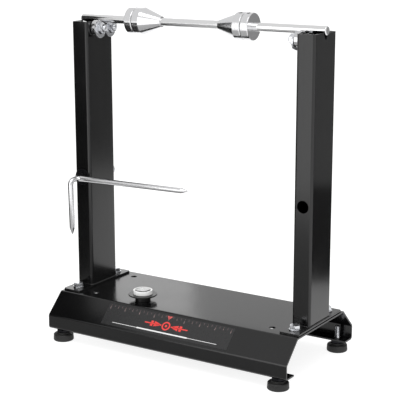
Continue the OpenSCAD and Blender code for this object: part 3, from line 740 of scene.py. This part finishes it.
def lathed(name, profile, centre, material, sides=64):
    """A piece of revolution about a vertical axis, from (radius, height) points, bottom first."""
    sheet = bmesh.new()
    rows = []
    for radius, height in profile:
        turns = [2 * math.pi * i / sides for i in range(sides)] if radius > 0 else [0]
        rows.append([sheet.verts.new((centre.x + radius * math.cos(t), centre.y + radius * math.sin(t),
                                      height)) for t in turns])
    for low, high in zip(rows, rows[1:]):
        for i in range(sides):
            j = (i + 1) % sides
            corners = [low[i % len(low)], low[j % len(low)], high[j % len(high)], high[i % len(high)]]
            sheet.faces.new(list(dict.fromkeys(corners)))
    mesh = bpy.data.meshes.new(name)
    sheet.to_mesh(mesh)
    sheet.free()
    mesh.shade_smooth()
    mesh.set_sharp_from_angle(angle=math.radians(LATHED_SHARP))
    return add_object(name, mesh, material)


LENS_GAP = 0.05 * MM       # air between the lens and the cup
FLUID_DROP = 0.35 * MM     # how far the fluid's level is drawn below the lens
TARGET_R = 4.8 * MM        # radius of the printed ring
TARGET_W = 0.5 * MM
LENS_EDGE = 0.3 * MM
# Share of the radius, and height over the fluid in millimetres
BUBBLE_SHAPE = ((0, -0.2), (1, -0.05), (0.92, 0.12), (0.6, 0.22), (0, 0.26))
lens_low, lens_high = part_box("level_lens")
fluid_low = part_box("level_fluid")[0]
bubble_low, bubble_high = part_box("level_bubble")
level_centre = (lens_low + lens_high) / 2
lens_r = (lens_high.x - lens_low.x) / 2 - LENS_GAP
bubble_r = (bubble_high.x - bubble_low.x) / 2
fluid_top = lens_low.z - FLUID_DROP

# Clear cast acrylic: a hard, glassy shine with the faintest ripple
acrylic, tree, shader = new_material("clear_acrylic", IOR=1.49, Roughness=0.03,
                                     Transmission_Weight=1.0)
place = add_node(tree, "ShaderNodeTexCoord").outputs["Object"]
ripple = add_node(tree, "ShaderNodeTexNoise", {"Vector": place}, {"Scale": 1 / (5 * MM)})
bump = add_node(tree, "ShaderNodeBump", {"Height": ripple.outputs["Fac"]},
                {"Strength": 0.1, "Distance": 0.02 * MM})
tree.links.new(bump.outputs["Normal"], shader.inputs["Normal"])

spirit = moulded_plastic("milky_level_spirit", ("#dcdddb", "#e9eae8"), (0.08, 0.12))
# The bubble is drawn as an opaque dome, a shade whiter and glossier than the spirit. This is a painted
# highlight that stands in for the shine a real air bubble shows from the light it reflects.
bubble_shine = moulded_plastic("bubble_painted_shine", ("#f3f4f3", "#fbfbfb"), (0.05, 0.08))
print_ink = moulded_plastic("grey_print_ink", ("#77797a", "#858788"), (0.4, 0.5))

lens = lathed("level_lens_finished", [
    (0, lens_low.z), (lens_r, lens_low.z), (lens_r, lens_high.z - LENS_EDGE),
    (lens_r - LENS_EDGE, lens_high.z - 0.1 * MM), (lens_r / 2, lens_high.z - 0.03 * MM),
    (0, lens_high.z)], level_centre, acrylic)
fluid = lathed("level_fluid_finished", [
    (0, fluid_low.z + LENS_GAP), (lens_r, fluid_low.z + LENS_GAP), (lens_r, fluid_top), (0, fluid_top)],
    level_centre, spirit)
bubble = lathed("level_bubble_finished", [
    (share * bubble_r, fluid_top + height * MM) for share, height in BUBBLE_SHAPE],
    level_centre, bubble_shine)
target = lathed("level_target_ring", [
    (TARGET_R, fluid_top - 0.1 * MM), (TARGET_R + TARGET_W, fluid_top - 0.1 * MM),
    (TARGET_R + TARGET_W, fluid_top + 0.04 * MM), (TARGET_R, fluid_top + 0.04 * MM),
    (TARGET_R, fluid_top - 0.1 * MM)], level_centre, print_ink)
for piece, node, slot in ((lens, "level_lens", "clear_lens"), (fluid, "level_fluid", "level_fluid"),
                          (bubble, "level_bubble", "level_fluid"), (target, None, "level_fluid")):
    if node is not None:
        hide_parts(node)
    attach(piece, "root")


# ---- Scale label ------------------------------------------------------------------------------
# A strip of dark polyester film on the front slope, screen printed on its face with a row of
# ruler ticks, a centre mark, a plain rule and a wheel-and-shaft sign.
PRINT_T = 0.05 * MM        # how far the ink stands up
TICK_FROM = 1.6 * MM       # top of the ticks, from the film's upper edge
TICKS = {"short": (33, 6.35 * MM, 2.8 * MM, "#655658"), "middle": (17, 12.7 * MM, 4.6 * MM, "#85716f"),
         "long": (9, 25.4 * MM, 6.8 * MM, "#a08a8a")}
TICK_W = 0.8 * MM
MARK_HALF_W = 4.4 * MM     # centre mark: a triangle that points down
MARK_H = 6.2 * MM
SIGN_DOWN = 17.6 * MM      # middle of the wheel sign, from the film's upper edge
WHEEL_R = (4.6 * MM, 6.8 * MM)
HUB_R = 1.9 * MM
WHEEL_STEPS = 48
AXLE_GAP = 1.2 * MM        # from the wheel to its axle
AXLE_HALF_T = 0.9 * MM
AXLE_REACH = 36 * MM
SIGN_CONE = (11 * MM, 20 * MM, 1.6 * MM, 4.2 * MM)   # from, to, half heights at each end
SIGN_COLLAR = (22 * MM, 26 * MM, 4.2 * MM)
RULE_DOWN = 28.8 * MM
RULE_HALF_W = 88 * MM
RULE_T = 0.7 * MM
BAR_SPAN = (-45 * MM, 40 * MM)
BAR_T = 2.0 * MM

FILM_EDGE = 0.08 * MM
film = moulded_plastic("printed_polyester_film", ("#1c1c1d", "#262627"), (0.24, 0.32))
finish_node("scale_label", "root", film, FILM_EDGE, segments=1)
sheet = merged_copy("scale_label")
face = max(sheet.faces, key=lambda f: f.calc_area() * (1 if f.normal.z > 0.1 else 0))
outward = face.normal.copy()
down = Vector((0, -outward.z, outward.y))
upper_edge = max((v.co for v in face.verts), key=lambda c: c.z).copy()
upper_edge.x = 0
sheet.free()


def on_label(x, below, lift):
    """The point x along the film, this far below its upper edge and this far off its face."""
    return upper_edge + Vector((x, 0, 0)) + down * below + outward * lift


def printed(sheet, outline):
    """Adds one inked shape: a thin plate over the film with the outline (x, below)."""
    top = [sheet.verts.new(on_label(x, below, PRINT_T)) for x, below in outline]
    foot = [sheet.verts.new(on_label(x, below, -PRINT_T)) for x, below in outline]
    sheet.faces.new(top)
    sheet.faces.new(foot[::-1])
    for i in range(len(outline)):
        j = (i + 1) % len(outline)
        sheet.faces.new([top[j], top[i], foot[i], foot[j]])


def box_outline(x0, x1, below, thickness):
    return [(x0, below - thickness / 2), (x0, below + thickness / 2),
            (x1, below + thickness / 2), (x1, below - thickness / 2)]


def screen_ink(name, colours):
    """Screen-printed ink: even, slightly broken by the film's grain, satin."""
    return moulded_plastic(name, colours, (0.35, 0.5))


def ink_piece(name, outlines, ink):
    sheet = bmesh.new()
    for outline in outlines:
        printed(sheet, outline)
    # Shapes that meet become one: the walls between them go
    bmesh.ops.remove_doubles(sheet, verts=sheet.verts, dist=MERGE_DISTANCE)
    inside = [face for face in sheet.faces
              if all(len(edge.link_faces) > 2 for edge in face.edges)]
    bmesh.ops.delete(sheet, geom=inside, context="FACES_ONLY")
    bmesh.ops.recalc_face_normals(sheet, faces=sheet.faces)
    mesh = bpy.data.meshes.new(name)
    sheet.to_mesh(mesh)
    sheet.free()
    piece = add_object(name, mesh, ink)
    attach(piece, "root")
    return piece


def tick_tree():
    """A row of equal ticks along X, each a thin block of ink."""
    tree, given, out = tree_with("ruler_ticks", [
        ("Count", "Int", 21), ("Spacing", "Float", 0.01), ("Width", "Float", 0.0006),
        ("Length", "Float", 0.004), ("Thickness", "Float", 0.0001), ("Material", "Material", None)])
    gaps = add_node(tree, "ShaderNodeMath", {0: given["Count"]}, {1: 1.0}, operation="SUBTRACT")
    span = add_node(tree, "ShaderNodeMath", {0: gaps.outputs[0], 1: given["Spacing"]},
                    operation="MULTIPLY")
    start_x = add_node(tree, "ShaderNodeMath", {0: span.outputs[0]}, {1: -0.5},
                       operation="MULTIPLY")
    start = add_node(tree, "ShaderNodeCombineXYZ", {"X": start_x.outputs[0]})
    step = add_node(tree, "ShaderNodeCombineXYZ", {"X": given["Spacing"]})
    places = add_node(tree, "GeometryNodeMeshLine",
                      {"Count": given["Count"], "Start Location": start.outputs[0],
                       "Offset": step.outputs[0]})
    size = add_node(tree, "ShaderNodeCombineXYZ",
                    {"X": given["Width"], "Y": given["Length"], "Z": given["Thickness"]})
    block = add_node(tree, "GeometryNodeMeshCube", {"Size": size.outputs[0]})
    row = add_node(tree, "GeometryNodeInstanceOnPoints",
                   {"Points": places.outputs[0], "Instance": block.outputs[0]})
    whole = add_node(tree, "GeometryNodeRealizeInstances", {"Geometry": row.outputs[0]})
    painted = add_node(tree, "GeometryNodeSetMaterial",
                       {"Geometry": whole.outputs[0], "Material": given["Material"]})
    tree.links.new(painted.outputs[0], out["Geometry"])
    return tree


ruler_ticks = tick_tree()
flat_on_film = Matrix((Vector((1, 0, 0)), -down, outward)).transposed().to_4x4()
for kind, (count, spacing, length, colour) in TICKS.items():
    ink = screen_ink(f"faded_ink_{kind}", (colour, colour))
    row = grown(f"label_ticks_{kind}", ruler_ticks, Count=count, Spacing=spacing, Width=TICK_W,
                Length=length, Thickness=2 * PRINT_T, Material=ink)
    row.data.transform(Matrix.Translation(on_label(0, TICK_FROM + length / 2, 0)) @ flat_on_film)
    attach(row, "root")

red_ink = screen_ink("red_screen_ink", ("#e2322f", "#f04a45"))
pale_ink = screen_ink("faded_red_ink", ("#c9504e", "#d9625e"))
white_ink = screen_ink("white_screen_ink", ("#e4e4e4", "#f2f2f2"))
ink_piece("label_centre_mark", [[(-MARK_HALF_W, TICK_FROM), (0, TICK_FROM + MARK_H),
                                 (MARK_HALF_W, TICK_FROM)]], pale_ink)
turns = [2 * math.pi * i / WHEEL_STEPS for i in range(WHEEL_STEPS + 1)]
wheel = [[(r * math.cos(t), SIGN_DOWN + r * math.sin(t)) for r, t in
          ((WHEEL_R[0], a), (WHEEL_R[1], a), (WHEEL_R[1], b), (WHEEL_R[0], b))]
         for a, b in zip(turns, turns[1:])]
sign = wheel + [[(HUB_R * math.cos(t), SIGN_DOWN + HUB_R * math.sin(t)) for t in turns[:-1]]]
for side in (-1, 1):
    sign.append(box_outline(side * (WHEEL_R[1] + AXLE_GAP), side * AXLE_REACH, SIGN_DOWN,
                            2 * AXLE_HALF_T))
    tip, back, tip_h, back_h = SIGN_CONE
    sign.append([(side * tip, SIGN_DOWN - tip_h), (side * tip, SIGN_DOWN + tip_h),
                 (side * back, SIGN_DOWN + back_h), (side * back, SIGN_DOWN - back_h)])
    sign.append(box_outline(side * SIGN_COLLAR[0], side * SIGN_COLLAR[1], SIGN_DOWN,
                            2 * SIGN_COLLAR[2]))
ink_piece("label_wheel_sign", sign, red_ink)
ink_piece("label_rule", [box_outline(-RULE_HALF_W, BAR_SPAN[0], RULE_DOWN, RULE_T),
                         box_outline(*BAR_SPAN, RULE_DOWN, BAR_T),
                         box_outline(BAR_SPAN[1], RULE_HALF_W, RULE_DOWN, RULE_T)], white_ink)
